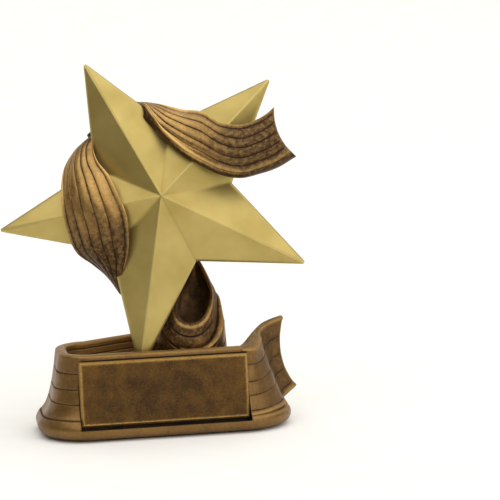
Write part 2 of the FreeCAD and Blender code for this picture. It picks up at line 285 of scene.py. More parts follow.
def satinGoldPaint(name):
    # pale gold lacquer sprayed on smooth resin: satin sheen, fine orange peel, brighter on the ridges
    material, tree, shader = newMaterial(name, {"Metallic": starLook["metallic"]})
    place = addNode(tree, "ShaderNodeTexCoord")
    cloud = addNode(tree, "ShaderNodeTexNoise", {
        "Vector": place.outputs["Object"], "Scale": grainSize(starLook["cloudSize"]), "Detail": 3.0})
    grain = addNode(tree, "ShaderNodeTexNoise", {
        "Vector": place.outputs["Object"], "Scale": grainSize(starLook["grain"]), "Detail": 2.0})
    rubbedAndSheen = addNode(tree, "ShaderNodeAttribute", attribute_name="rubbedAndSheen")
    groove = addNode(tree, "ShaderNodeAttribute", attribute_name="groove")
    share = addNode(tree, "ShaderNodeMapRange", {
        "Value": cloud.outputs["Fac"], "From Min": 0.35, "From Max": 0.65, "To Min": 0.0, "To Max": 1.0})
    tint = addNode(tree, "ShaderNodeMix", {
        "Factor": share.outputs["Result"], 6: colour(starLook["body"]), 7: colour(starLook["shade"])},
        data_type="RGBA")
    for mark, part in ((rubbedAndSheen, "edge"), (groove, "valley")):
        tint = addNode(tree, "ShaderNodeMix", {
            "Factor": mark.outputs["Fac"], 6: tint.outputs[2], 7: colour(starLook[part])},
            data_type="RGBA")
    dull = addNode(tree, "ShaderNodeMapRange", {
        "Value": cloud.outputs["Fac"], "To Min": starLook["smoothest"], "To Max": starLook["roughest"]})
    bump = addNode(tree, "ShaderNodeBump", {
        "Height": grain.outputs["Fac"], "Strength": 0.25, "Distance": 0.03 * mm})
    setInputs(tree, shader, {
        "Base Color": tint.outputs[2], "Roughness": dull.outputs["Result"],
        "Normal": bump.outputs["Normal"]})
    return material


def grainedSurface(name, texture, grain, tints, relief, surface):
    # one texture gives both the tint and the fine relief; grain is its size in X, Y and Z
    material, tree, shader = newMaterial(name, surface)
    kind, output, details = texture
    place = addNode(tree, "ShaderNodeTexCoord")
    stretched = addNode(tree, "ShaderNodeMapping", {
        "Vector": place.outputs["Object"], "Scale": [grainSize(size) for size in grain]})
    pattern = addNode(tree, kind, {
        "Vector": stretched.outputs["Vector"], "Scale": 1.0, **details}).outputs[output]
    tint = addNode(tree, "ShaderNodeMix", {
        "Factor": pattern, 6: colour(tints[0]), 7: colour(tints[1])}, data_type="RGBA")
    strength, depth = relief
    bump = addNode(tree, "ShaderNodeBump", {
        "Height": pattern, "Strength": strength, "Distance": depth * mm})
    setInputs(tree, shader, {"Base Color": tint.outputs[2], "Normal": bump.outputs["Normal"]})
    return material


polishedBronze = antiqueBronzeResin("polishedAntiqueBronzeResin")
baseBronze = antiqueBronzeResin(
    "rubbedAntiqueBronzeResin", body="#74542A", shade="#523A1C", gold="#A58045",
    cloudSize=20, cloudAmount=0.8, metallic=0.65, smoothest=0.36, roughest=0.55)
plaqueBronze = antiqueBronzeResin(
    "mottledAntiqueBronzeResin", body="#664718", shade="#3E280E", gold="#B48E4A",
    strokeWidth=1.1, strokeLength=1.4, cloudSize=9, speckSize=1.6, cloudAmount=0.65,
    metallic=0.7, smoothest=0.42, roughest=0.6)
# dark, dull bronze for the cut faces of the plate's recess: painted shade
recessShadeBronze = antiqueBronzeResin(
    "shadedRecessBronzeResin", body="#3E2812", shade="#22140A", gold="#6B4A22",
    metallic=0.3, smoothest=0.5, roughest=0.65)
starGold = satinGoldPaint("satinGoldLacquer")
# pressed felt: no gloss, short fuzz that lightens at a grazing angle
blackFelt = grainedSurface(
    "blackWoolFelt", ("ShaderNodeTexNoise", "Fac", {"Detail": 6.0, "Distortion": 1.5}),
    (0.4, 0.4, 0.4), ("#0B0B0B", "#2A2928"), (0.8, 0.2), {"Roughness": 0.95, "Sheen Weight": 0.4})
# drawn or turned bar: fine lines and a few cloudy stains
barLines = ("ShaderNodeTexNoise", "Fac", {"Detail": 3.0})
brightSteel = grainedSurface(
    "drawnSteel", barLines, (0.3, 0.3, 8), ("#B4B6B8", "#8C8E90"), (0.3, 0.03),
    {"Metallic": 1.0, "Roughness": 0.32})
turnedBrass = grainedSurface(
    "turnedBrass", barLines, (0.3, 0.3, 8), ("#C9A557", "#A07E38"), (0.3, 0.03),
    {"Metallic": 1.0, "Roughness": 0.3})
# foam pad: matte, with small open cells at its cut edge
whiteFoam = grainedSurface(
    "whiteFoamTape", ("ShaderNodeTexVoronoi", "Distance", {}),
    (0.4, 0.4, 0.4), ("#C9C8C2", "#EDECE8"), (0.6, 0.1), {"Roughness": 0.8})
print("materials made")


# star: its frame has X to the right, Y up along the face and Z out of the front
starShape = {
    "centre": (3.5, -3, 152),
    "lean": 12,
    "yaw": 10,
    "reach": (106, 108, 104, 109, 116),
    "notch": 48,
    "firstAngle": -26,
    "apex": (1.6, -1.3),
    "depth": 22,
    "edge": 1.2,  # half the thickness at the rim
    "tipTrim": 2.2,
    "tipRound": 0.35,
    "ridgeRound": 0.5,
    "valleyRound": 1.1,
    "sharperWithin": 12,  # nearer to the apex than this, ridges and valleys sharpen
    "hollow": 0.25,
    "rimShare": 0.025,
    "rimDrop": 0.5,
    # strength and width of the rubbed ridges, and of the wash left in the valleys
    "ridgeWear": (0.35, 0.6),
    "valleyWash": (0.2, 0.8),
    "rimWear": 0.5,
    "columns": 30,
    "columnCrowding": 0.9,  # towards the corners
    "rows": 60,
    "rowSpread": 0.8,
}


def toTrophy(points):
    place = Matrix.Translation(starShape["centre"])
    place = place @ Matrix.Rotation(math.radians(-starShape["yaw"]), 4, "Z")
    place = np.array(place @ Matrix.Rotation(math.radians(90 - starShape["lean"]), 4, "X"))
    return np.array(points) @ place[:3, :3].T + place[:3, 3]


def armAngle(arm):
    return math.radians(starShape["firstAngle"] + 360 / len(starShape["reach"]) * arm)


def starCorners():
    corners = []
    for arm, reach in enumerate(starShape["reach"]):
        for radius, angle in ((reach, armAngle(arm)), (starShape["notch"], armAngle(arm + 0.5))):
            corners.append((radius * math.cos(angle), radius * math.sin(angle)))
    return np.array(corners)


def bluntTips(outline):
    # each tip is cut off square and slightly rounded
    soft = starShape["tipRound"]
    for arm, reach in enumerate(starShape["reach"]):
        ray = np.array([math.cos(armAngle(arm)), math.sin(armAngle(arm))])
        ahead = outline @ ray
        room = (reach - starShape["tipTrim"] - ahead) / soft
        blunt = ahead + soft * (room - np.logaddexp(0, room))
        outline = outline + (blunt - ahead)[:, None] * ray
    return outline


def facetFalls(corners, k, apex, rise):
    # how steeply the facets on either side of ray k fall, at right angles to it
    ray = corners[k] - apex
    across = np.array([-ray[1], ray[0]]) / np.linalg.norm(ray)
    falls = []
    for near in (corners[k - 1], corners[(k + 1) % len(corners)]):
        fall = np.linalg.solve(np.array([ray, near - apex]), np.array([-rise, -rise]))
        falls.append(fall @ across)
    return falls


def starFace(side):
    # one side as rings from the edge in to the apex, with rounded ridges and filled valleys
    corners = starCorners()
    apex = np.array(starShape["apex"])
    ease = np.linspace(0, 1, starShape["columns"], endpoint=False)
    ease = ease - starShape["columnCrowding"] * np.sin(2 * np.pi * ease) / (2 * np.pi)
    outline = []
    for k, corner in enumerate(corners):
        after = corners[(k + 1) % len(corners)]
        outline.append(corner + ease[:, None] * (after - corner))
    outline = bluntTips(np.concatenate(outline))
    share = np.tile(ease, len(corners))
    border = np.linspace(0, 1, starShape["rows"]) ** starShape["rowSpread"]
    inward = 1 - border
    rise = starShape["depth"] - starShape["edge"]
    plan = apex + inward[:, None, None] * (outline - apex)
    height = starShape["edge"] + rise * border[:, None] + np.zeros((1, len(outline)))
    wear = np.zeros_like(height)
    wash = np.zeros_like(height)
    for k, corner in enumerate(corners):
        isRidge = k % 2 == 0
        ray = unit(corner - apex)
        before, after = facetFalls(corners, k, apex, rise)
        offset = (plan - apex) @ np.array([-ray[1], ray[0]])
        ahead = (plan - apex) @ ray
        size = starShape["ridgeRound" if isRidge else "valleyRound"]
        width = size * np.clip(ahead / starShape["sharperWithin"], 0.02, 1)
        inside = np.clip(width - np.abs(offset), 0, None) * (ahead > 0)
        height += (after - before) / 2 * inside**2 / (2 * width)
        strength, reach = starShape["ridgeWear" if isRidge else "valleyWash"]
        mark = strength * bell(offset, reach) * (ahead > 0)
        if isRidge:
            wear = np.maximum(wear, mark)
        else:
            wash = np.maximum(wash, mark)
    # facets are a little hollow, and the rim is rounded
    middle = np.sin(np.pi * share)[None, :] * np.sin(np.pi * inward)[:, None]
    height -= starShape["hollow"] * middle
    fall = np.clip(1 - border / starShape["rimShare"], 0, 1)[:, None]
    height -= starShape["rimDrop"] * fall**2
    wear = np.maximum(wear, starShape["rimWear"] * fall)
    points = np.concatenate([plan, side * height[..., None]], axis=2)
    return points, wear, wash


def makeStar():
    front, frontWear, frontWash = starFace(1)
    back, backWear, backWash = starFace(-1)
    rings = np.concatenate([front[::-1][1:], back[:-1]])
    marks = {
        "rubbedAndSheen": np.concatenate([frontWear[::-1][1:], backWear[:-1]]),
        "groove": np.concatenate([frontWash[::-1][1:], backWash[:-1]])}
    piece = ringPiece("starCasting", toTrophy(rings), marks, rings[..., :2], 60)
    finishPiece(piece, starGold, "gold_resin", "star")


makeStar()
print("star made")


# ribbons: each station is the first edge, the second edge, the bulge and the notch of the middle
ribbonShape = {
    "thickness": 4,
    "edgeRound": 1.7,
    "rows": 170,
    "columns": 110,
    "usualWidth": 45,
    "fullWidth": 30,  # narrower than this, the carving gets shallower
    "grooveWidth": 0.24,
    "grooveDepth": 0.5,
    "grooveFade": 5,  # where the grooves run out before the ends
    "grooveWander": 0.006,
    "wanderLength": 11,
    "beadWidth": 3.0,
    "beadHeight": 0.9,
    "ribHeight": 0.4,
    "rollOut": 0.55,
    "rollBack": 1.1,
    "edgeWear": (0.8, 0.9, 0.7),  # strength, distance from the edge, width
    "paintedHighlight": (0.35, 0.3, 0.22),  # painted highlight on the crown of the ribbon: strength, place along the ribbon, width
}
upperDrapeStations = [
    ((-15, 66, -15), (-13, 62, -5), 1, 0),
    ((-9, 65, -12), (-9, 59, 5), 2, 0),
    ((0, 63, -7), (-4, 49, 9), 3, 0),
    ((8, 60, -2), (3, 38, 13), 5, 0),
    ((18, 57, 1), (14, 27, 18), 7, 0),
    ((29, 55, 7), (27, 18, 20), 8, 0),
    ((41, 47, 12), (40, 11.5, 20), 7, 0),
    ((54, 45, 15), (54, 9, 18), 6, 1),
    ((64, 48, 14), (67, 12, 17), 5, 2),
    ((71, 52, 13), (79, 16.5, 16), 4, 4),
    ((76.5, 57, 11), (90, 23.5, 15), 3, 5),
]
leftDrapeStations = [
    ((-42.5, 42, 0), (-41.5, 45, -12), 2, 0),
    ((-42, 32, 7), (-55, 33.5, -4), 4, 0),
    ((-38, 22, 13), (-62, 21, 3), 5, 0),
    ((-31, 13, 17), (-64, 8, 8), 7, 0),
    ((-25, 0, 18), (-64, -7, 11), 8, 0),
    ((-20.5, -12, 17), (-61, -22, 10), 8, 0),
    ((-19.5, -24, 14), (-56, -34, 4), 8, 0),
    ((-21, -38, 9), (-45, -42, -4), 6, 0),
    ((-25, -51, 2), (-35, -52, -10), 3, 0),
    ((-25, -61, -6), (-28, -63, -15), 1, 0),
]
upperBackStations = [
    ((-7, 66, -12), (5, 50, -8), 1, 0),
    ((-20, 67, -16), (-7, 37, -18), 3, 0),
    ((-36, 58, -16), (-24, 25, -20), 4, 0),
    ((-49, 45, -11), (-41, 25, -11), 2, 0),
]
lowerBackStations = [
    ((20, -40, -27), (20, -64, -33), 3, 0),
    ((5, -41, -22), (6, -68, -25), 4, 0),
    ((-12, -44, -18), (-10, -69, -19), 3, 0),
    ((-28, -49, -9), (-24, -67, -11), 1, 0),
]
tailStations = [
    ((50, -33, 55), (50, -46, 10), -3, 0),
    ((57.5, -31.5, 55), (63, -42, 10.5), -3, 0),
    ((61.5, -26, 56), (73, -33.5, 11.5), -2.5, 0),
    ((64.5, -18, 59), (80, -22, 12.5), -1.5, 0),
    ((65.6, -8, 62), (81, -10, 13), -1, 2),
    ((71, -1.4, 65.2), (83.4, -2.4, 13.5), -1, 3),
    ((78, 2, 67.2), (87.5, 1, 16), -1, 5),
    ((86, 6, 68.6), (94, 5, 19.5), 0, 8),
]
# inside of the tail: as thick as the wall at the corner, then a sheet
tailInsideStations = [
    ((50, -26, 55), (50, -27, 10), 0, 0),
    ((54, -20.5, 57), (57, -24, 10.5), 0, 0),
    ((57.5, -16.5, 59.5), (62, -19, 11.5), 0, 0),
    ((60.5, -12.5, 61.3), (66, -13, 12.5), 0, 0),
    ((64, -5.5, 61.8), (72, -5, 13), 0, 1),
    ((69, 1.5, 63.5), (80.5, 1, 13.5), -1, 2.5),
    ((76, 5.7, 65.5), (85.8, 5, 16), -1, 5),
    ((84.2, 9.8, 67.6), (92.3, 9, 19.5), 0, 8),
]


def borderSamples(count, length, rounding):
    # places from 0 to 1, close together within the rounded border
    edge = np.array([0, 0.1, 0.35, 0.75, 1.3]) * rounding / 1.3 / length
    middle = np.linspace(edge[-1], 1 - edge[-1], count - 8)
    return np.concatenate([edge[:-1], middle, 1 - edge[:-1][::-1]])


def ribbonSurface(stations, rows, share, toFrame=None):
    firsts, seconds, bulges, notches = (np.array([s[k] for s in stations], float) for k in range(4))
    if toFrame:
        firsts = toFrame(firsts)
        seconds = toFrame(seconds)
    places = rows * (len(stations) - 1)
    first = smooth(firsts, places)
    second = smooth(seconds, places)
    crown = 1 - (2 * share - 1) ** 2
    flat = first[:, None] * (1 - share)[None, :, None] + second[:, None] * share[None, :, None]
    along = unit(np.gradient((first + second) / 2, axis=0))
    out = unit(np.cross(unit(second - first), along))
    lift = out * smooth(bulges, places)[:, None]
    pull = along * smooth(notches, places)[:, None]
    return flat + (lift - pull)[:, None] * crown[None, :, None]


def ribbonRelief(base, grooves, ribs=1.0, roll=0.0):
    # height of the grooves, ribs and side beads, with marks of where they lie
    over = runLength(base, 1)
    run = runLength(base).mean(axis=1)
    width = over[:, -1:]
    squeeze = np.clip(width / ribbonShape["fullWidth"], 0.25, 1)
    fade = np.clip(np.minimum(run, run[-1] - run) / ribbonShape["grooveFade"], 0, 1)[:, None]
    relief = np.zeros_like(over)
    groove = np.zeros_like(over)
    for place, depth in grooves:
        wander = ribbonShape["grooveWander"] * np.sin(run / ribbonShape["wanderLength"] + 40 * place)
        fromGroove = over - (place + wander)[:, None] * width
        mark = fade * bell(fromGroove, ribbonShape["grooveWidth"] * (0.4 + 0.6 * squeeze))
        relief -= ribbonShape["grooveDepth"] * depth * squeeze * mark
        groove = np.maximum(groove, mark * min(1, depth))
    marks = np.array([0] + [place for place, depth in grooves] + [1])
    local = np.clip(over / width, 0, 1)
    band = np.clip(np.searchsorted(marks, local, side="right") - 1, 0, len(marks) - 2)
    rib = np.sin(np.pi * (local - marks[band]) / (marks[band + 1] - marks[band])) ** 0.8
    relief += ribs * ribbonShape["ribHeight"] * rib * squeeze
    fromBead = np.minimum(over, width - over - roll) - 0.5 * ribbonShape["beadWidth"]
    bead = bell(fromBead, 0.45 * ribbonShape["beadWidth"])
    relief += ribbonShape["beadHeight"] * bead * squeeze
    worn = np.clip(0.7 * bead + 0.3 * rib * ribs - groove, 0, 1)
    return relief, groove, worn, run, over


def makeRibbon(name, stations, grooves, material, replaced, stainAndShade, roll=0.0):
    rough = runLength([s[0] for s in stations])[-1]
    rows = borderSamples(ribbonShape["rows"], rough, ribbonShape["edgeRound"])
    share = borderSamples(ribbonShape["columns"], ribbonShape["usualWidth"], ribbonShape["edgeRound"])
    base = ribbonSurface(stations, rows, share, toTrophy)
    normals = unit(np.cross(np.gradient(base, share, axis=1), np.gradient(base, rows, axis=0)))
    relief, groove, worn, run, over = ribbonRelief(base, grooves, roll=roll)
    width = over[:, -1:]
    fromFree = (run[-1] - run)[:, None]
    fromEnds = np.minimum(run[:, None], fromFree)
    fromSides = np.minimum(over, width - over)
    # the second border may be rolled back, which shows as a wall under the bead; further down, that wall
    # is given painted shade and no wear
    rolled = np.clip(1 - (width - over) / max(roll, 0.1), 0, 1)
    rolled = rolled * np.clip(width / ribbonShape["fullWidth"], 0, 1)
    outward = unit(np.gradient(base, share, axis=1))
    base = base + outward * (ribbonShape["rollOut"] * roll * rolled)[..., None]
    base = base - normals * (ribbonShape["rollBack"] * roll * rolled**1.5)[..., None]
    thin = np.clip(np.minimum(fromEnds, fromSides) / ribbonShape["edgeRound"], 0, 1)
    half = ribbonShape["thickness"] / 2 * np.sqrt(1 - (1 - thin) ** 2)
    middle = base - normals * ribbonShape["thickness"] / 2
    front = middle + normals * (half + relief * thin)[..., None]
    back = middle - normals * half[..., None]
    strength, place, reach = ribbonShape["edgeWear"]
    fromEdge = np.minimum(fromFree, over if roll else fromSides)
    worn = np.maximum(worn, strength * bell(fromEdge - place, reach)) * (1 - np.clip(2 * rolled, 0, 1))
    # painted highlight across the crown, added to the wear marks, but not on the rolled-back wall
    strength, place, reach = ribbonShape["paintedHighlight"]
    paintedHighlight = strength * bell((run / run[-1] - place) / reach, 1)[:, None]
    worn = worn + paintedHighlight * (1 - groove) * (rolled <= 0)
    # painted shade: darker along the ribbon as its shading function gives, and darker on the rolled-back
    # wall; wear is dimmed where this painted shade lies
    stainedAndShaded = stainAndShade(run / run[-1])[:, None] + np.clip(2 * rolled, 0, 0.9)
    worn = worn * (1 - 0.7 * np.clip(stainedAndShaded, 0, 1))
    coords = spread((run[:, None], over))
    blank = np.zeros_like(over)
    # the back side is darkened through the groove and stain marks as painted shade
    piece = sheetPiece(name, front, back, {
        "groove": (0.7 * groove, blank + 0.25),
        "rubbedAndSheen": (worn, blank),
        "stainAndShade": (stainedAndShaded, blank + 0.5)}, coords)
    finishPiece(piece, material, "bronze_resin", *replaced)
    return piece


tailShape = {
    "grooves": [(0.26, 1), (0.49, 1), (0.69, 1), (0.91, 1)],
    "ribs": 0.5,
    "length": 75,
    "endCrowding": 1.8,
    "topDip": 1,
    "sideRound": 1.6,
    "endRound": 2.0,
    "capPoints": 12,
    "topSwell": 1.0,
    "underSwell": 0.6,
    "edgeWear": (0.8, 0.9, 0.8),  # strength, distance from the free end, width
    # shares of the way from the corner to the free end
    "crease": 0.59,
    "creaseWidth": 0.05,
    "darkFrom": 0.54,
    "darkWithin": 0.08,
    "darkness": 0.55,
}


def roundOff(distance, radius, least=0.0):
    # height of a quarter round that starts at the edge
    return np.sqrt(1 - (1 - np.clip(distance / radius, least, 1)) ** 2)


def makeTail():
    # thick at the corner, so its rising top shows as a broad face; the free end is rounded
    rows = borderSamples(ribbonShape["rows"], tailShape["length"], tailShape["endCrowding"])
    share = np.linspace(0, 1, ribbonShape["columns"])
    front = ribbonSurface(tailStations, rows, share)
    back = ribbonSurface(tailInsideStations, rows, share)
    normals = unit(np.cross(np.gradient(front, share, axis=1), np.gradient(front, rows, axis=0)))
    relief, groove, worn, run, over = ribbonRelief(front, tailShape["grooves"], tailShape["ribs"])
    front[..., 2] -= tailShape["topDip"] * (1 - share) ** 3
    back[..., 2] -= tailShape["topDip"] * (1 - share) ** 3
    fromSides = np.minimum(over, over[:, -1:] - over)
    tuck = tailShape["sideRound"] * (1 - roundOff(fromSides, tailShape["sideRound"]))
    relief = relief * np.clip(fromSides / tailShape["sideRound"], 0, 1) - tuck
    front = front + normals * relief[..., None]
    fromFree = (run[-1] - run)[:, None] + np.zeros_like(over)
    closing = roundOff(fromFree, tailShape["endRound"], 0.02)[..., None]
    middle = (front + back) / 2
    front = middle + (front - middle) * closing
    back = middle + (back - middle) * closing
    half = tailShape["capPoints"] // 2
    turn = np.linspace(0, 1, tailShape["capPoints"] + 2)[None, 1:-1, None]
    swell = np.sqrt(1 - (2 * turn - 1) ** 4) * closing[:, :1]
    upwards = unit(front[:, 0] - front[:, 6])[:, None]
    under = front[:, -1:] * (1 - turn) + back[:, -1:] * turn - upwards * tailShape["underSwell"] * swell
    top = back[:, :1] * (1 - turn) + front[:, :1] * turn + upwards * tailShape["topSwell"] * swell
    # each ring starts and ends in the middle of the top
    rings = np.concatenate([top[:, half:], front, under, back[:, ::-1], top[:, :half]], axis=1)
    strength, place, reach = tailShape["edgeWear"]
    worn = np.maximum(worn, strength * bell(fromFree - place, reach))
    # the crease where the surface turns gets a painted highlight, and the end beyond it is darker
    along = (run / run[-1])[:, None] + np.zeros_like(over)
    creaseHighlight = 0.8 * bell(along - tailShape["crease"], tailShape["creaseWidth"])
    worn = np.maximum(worn, creaseHighlight * np.clip(over / 10, 0, 1) - groove)
    beyond = np.clip((along - tailShape["darkFrom"]) / tailShape["darkWithin"], 0, 1)
    blank = np.zeros((len(rows), tailShape["capPoints"]))
    edge = blank[:, :half]
    behind = np.zeros_like(over)
    # painted shade: the underside and the inside face are darkened through the groove and stain marks
    marks = {
        "groove": np.concatenate([edge, 0.85 * groove, blank + 0.3, behind + 0.25, edge], axis=1),
        "rubbedAndSheen": np.concatenate([edge + 0.25, worn, blank, behind, edge + 0.1], axis=1),
        "stainAndShade": np.concatenate([
            edge + 0.25, tailShape["darkness"] * beyond, blank, behind + 0.5, edge + 0.25], axis=1)}
    coords = spread((run[:, None], runLength(rings, 1)))
    piece = ringPiece("baseTail", rings, marks, coords, 50, paired=True)
    finishPiece(piece, baseBronze, "bronze_resin", "base_tail")
    return piece


# how much painted shade a ribbon gets along its length, from its first station to its last: where it
# passes behind the star, and on the upper drape towards its free end; the ribbons behind the star are
# shaded evenly
def darkTail(share):
    return 0.85 * np.clip((share - 0.45) / 0.35, 0, 1) + 0.7 * np.clip(1 - share / 0.1, 0, 1)


def darkEnds(share):
    return 0.9 * np.clip((share - 0.4) / 0.3, 0, 1) + 0.9 * np.clip(1 - share / 0.2, 0, 1)


def darkAllOver(share):
    return 0.5 + 0 * share


sideGrooves = [(0.12, 0.6), (0.35, 1), (0.62, 1), (0.88, 0.6)]
makeRibbon("upperDrape", upperDrapeStations, [
    (0.11, 0.6), (0.3, 1), (0.47, 1), (0.64, 1), (0.78, 0.9), (0.9, 0.5)],
    polishedBronze, ["upper_drape"], darkTail, roll=3.2)
makeRibbon("leftDrape", leftDrapeStations, [
    (0.1, 0.7), (0.3, 1), (0.46, 1), (0.62, 1), (0.77, 1), (0.92, 0.6)],
    polishedBronze, ["left_drape"], darkEnds)
makeRibbon("upperBackRibbon", upperBackStations, sideGrooves, polishedBronze,
           ["upper_back_ribbon"], darkAllOver)
lowerBackRibbon = makeRibbon("lowerBackRibbon", lowerBackStations, sideGrooves, polishedBronze,
                             ["lower_back_ribbon"], darkAllOver)
baseTail = makeTail()
print("ribbons made")


# base: the wall's section is counted outwards from the rim line, in millimetres
baseShape = {
    "left": -69,
    "right": 70,
    "front": -33,
    "rear": 27,
    "corner": 20,
    "wall": 7,
    "rim": 55,
    "rimRound": 2,
    "floor": 44,
    "floorWave": (0.25, 7, 5),  # height, and its lengths along and across the base
    "felt": 1,
    "footTop": 12,
    # how far the wall stands out, and at what height
    "flare": [
        (8.5, 1), (13, 3.5), (14.5, 8), (12.6, 12.5), (8.6, 17), (5.6, 24), (3.1, 34), (1.3, 44),
        (0, 53)],
    "grooves": (43.3, 32.8, 23.8, 14.1),
    "grooveWidth": 0.36,
    "grooveDepth": 0.6,
    "grooveWander": 0.25,
    "wanderLength": 13,
    "insideGrooves": (4.5, 9),  # below the rim
    "insideGrooveWidth": 0.4,
    "insideGrooveDepth": 0.5,
    "insideCarved": 12,
    "rearRise": 6,
    "rearEnd": 30,
    "shoulderStart": -11,
    "shoulderSlope": 60,
    "outerSamples": 150,
    "wallWear": 0.2,
    "rimWear": (0.3, 2.0),  # strength and width
    "footWear": (0.12, 5),
    "footWearHeight": 8,
    "insideWear": 0.55,
}


def corner(centre, fromAngle, toAngle, steps=26):
    # plan points round a corner, with their outward directions
    angles = np.radians(np.linspace(fromAngle, toAngle, steps))
    out = np.stack([np.cos(angles), np.sin(angles)], axis=1)
    return np.array(centre) + baseShape["corner"] * out, out


def straight(start, end, outward, steps=40):
    share = np.linspace(0, 1, steps)[:, None]
    points = np.array(start) * (1 - share) + np.array(end) * share
    return points, np.zeros_like(points) + np.array(outward)


def joinRuns(*runs):
    points = np.concatenate([run[0] for run in runs])
    outs = np.concatenate([run[1] for run in runs])
    keep = np.concatenate([[True], np.linalg.norm(np.diff(points, axis=0), axis=1) > 1e-6])
    return points[keep], outs[keep]


def bandSection(top, distance):
    # one upright section of the wall: carved outside, rounded rim, scored inside
    low = baseShape["felt"]
    wall = baseShape["wall"]
    rimRound = baseShape["rimRound"]
    flare = smooth(baseShape["flare"], np.linspace(0, len(baseShape["flare"]) - 1, 400))
    z = low + (top - rimRound - low) * np.linspace(0, 1, baseShape["outerSamples"]) ** 1.25
    r = np.interp(z, flare[:, 1], flare[:, 0])
    normal = unit(np.stack([np.ones_like(z), -np.gradient(r, z)], axis=1))
    carved = np.zeros_like(z)
    for line in baseShape["grooves"]:
        wander = baseShape["grooveWander"] * np.sin(distance / baseShape["wanderLength"] + line)
        mark = bell(z - line - wander, baseShape["grooveWidth"])
        carved = np.maximum(carved, mark * (top > line + 4))
    outside = np.stack([r, z], axis=1) - normal * (baseShape["grooveDepth"] * carved)[:, None]
    bend = np.linspace(0, np.pi, 14)[1:-1]
    rim = np.stack([
        r[-1] - (r[-1] + wall) * (1 - np.cos(bend)) / 2,
        top - rimRound + rimRound * np.sin(bend)], axis=1)
    fineEnd = top - baseShape["insideCarved"]
    z = np.concatenate([
        np.linspace(top - rimRound, max(fineEnd, low + 1), 50),
        np.linspace(max(fineEnd - 1, low + 0.5), low, 10)])
    width = baseShape["insideGrooveWidth"]
    scored = sum(bell(top - z - line, width) for line in baseShape["insideGrooves"])
    inside = np.stack([baseShape["insideGrooveDepth"] * scored - wall, z], axis=1)
    section = np.concatenate([outside, rim, inside])
    groove = np.concatenate([0.85 * carved, np.zeros(len(rim)), 0.6 * scored])
    rimWear, rimReach = baseShape["rimWear"]
    footWear, footReach = baseShape["footWear"]
    worn = baseShape["wallWear"] + rimWear * bell(section[:, 1] - top, rimReach)
    worn += footWear * bell(section[:, 1] - baseShape["footWearHeight"], footReach)
    worn[-len(inside):] = baseShape["insideWear"]
    return section, groove, np.clip(worn - groove, 0, 1)


def bandPiece(name, path, tops, replaced, start=0.0):
    # the wall swept along a path, with its own top height at each point; start is where the path
    # begins, measured round the band, so that neighbours share their wandering grooves
    points, outs = path
    run = start + runLength(points)
    rings, grooves, worns, coords = [], [], [], []
    for place, out, top, distance in zip(points, outs, tops, run):
        section, groove, worn = bandSection(top, distance)
        rings.append(np.column_stack([place + section[:, :1] * out, section[:, 1]]))
        grooves.append(groove)
        worns.append(worn)
        coords.append(spread((distance, runLength(section))))
    marks = {
        "groove": np.array(grooves), "rubbedAndSheen": np.array(worns), "stainAndShade": np.zeros(np.shape(grooves))}
    piece = ringPiece(name, np.array(rings), marks, np.array(coords))
    finishPiece(piece, baseBronze, "bronze_resin", *replaced)
    return piece


def cornerCentre(rightSide, rearSide):
    inset = baseShape["corner"]
    x = baseShape["right"] - inset if rightSide else baseShape["left"] + inset
    y = baseShape["rear"] - inset if rearSide else baseShape["front"] + inset
    return np.array([x, y], float)


def makeLeftTurn():
    rear = cornerCentre(False, True)
    front = cornerCentre(False, False)
    path = joinRuns(
        corner(rear, 90, 180),
        straight((baseShape["left"], rear[1]), (baseShape["left"], front[1]), (-1, 0), 10),
        corner(front, 180, 270))
    tops = np.full(len(path[0]), baseShape["rim"])
    return bandPiece("baseLeftTurn", path, tops, ["base_left_turn"]), runLength(path[0])[-1]


def makeFrontWall(start):
    left = (cornerCentre(False, False)[0], baseShape["front"])
    right = (cornerCentre(True, False)[0], baseShape["front"])
    path = straight(left, right, (0, -1))
    tops = np.full(len(path[0]), baseShape["rim"])
    piece = bandPiece("baseFrontWall", path, tops, ["base_front_wall"], start)
    return piece, start + runLength(path[0])[-1]


def makeRearWall():
    startX = cornerCentre(False, True)[0]
    path = straight((baseShape["rearEnd"], baseShape["rear"]), (startX, baseShape["rear"]), (0, 1))
    climb = (path[0][:, 0] - startX) * math.tan(math.radians(baseShape["rearRise"]))
    return bandPiece("baseRearWall", path, baseShape["rim"] + climb, ["base_rear_wall"])


def makeRightFoot(start):
    # foot under the tail, then a ramp up to the shoulder behind it
    front = cornerCentre(True, False)
    rear = cornerCentre(True, True)
    path = joinRuns(
        corner(front, -90, 0),
        straight((baseShape["right"], front[1]), (baseShape["right"], rear[1]), (1, 0), 30),
        corner(rear, 0, 90),
        straight((rear[0], baseShape["rear"]), (baseShape["rearEnd"], baseShape["rear"]), (0, 1), 12))
    slope = math.tan(math.radians(baseShape["shoulderSlope"]))
    climb = (path[0][:, 1] - baseShape["shoulderStart"]) * slope
    tops = np.clip(baseShape["footTop"] + climb, baseShape["footTop"], baseShape["floor"])
    return bandPiece("baseRightFoot", path, tops, [], start)


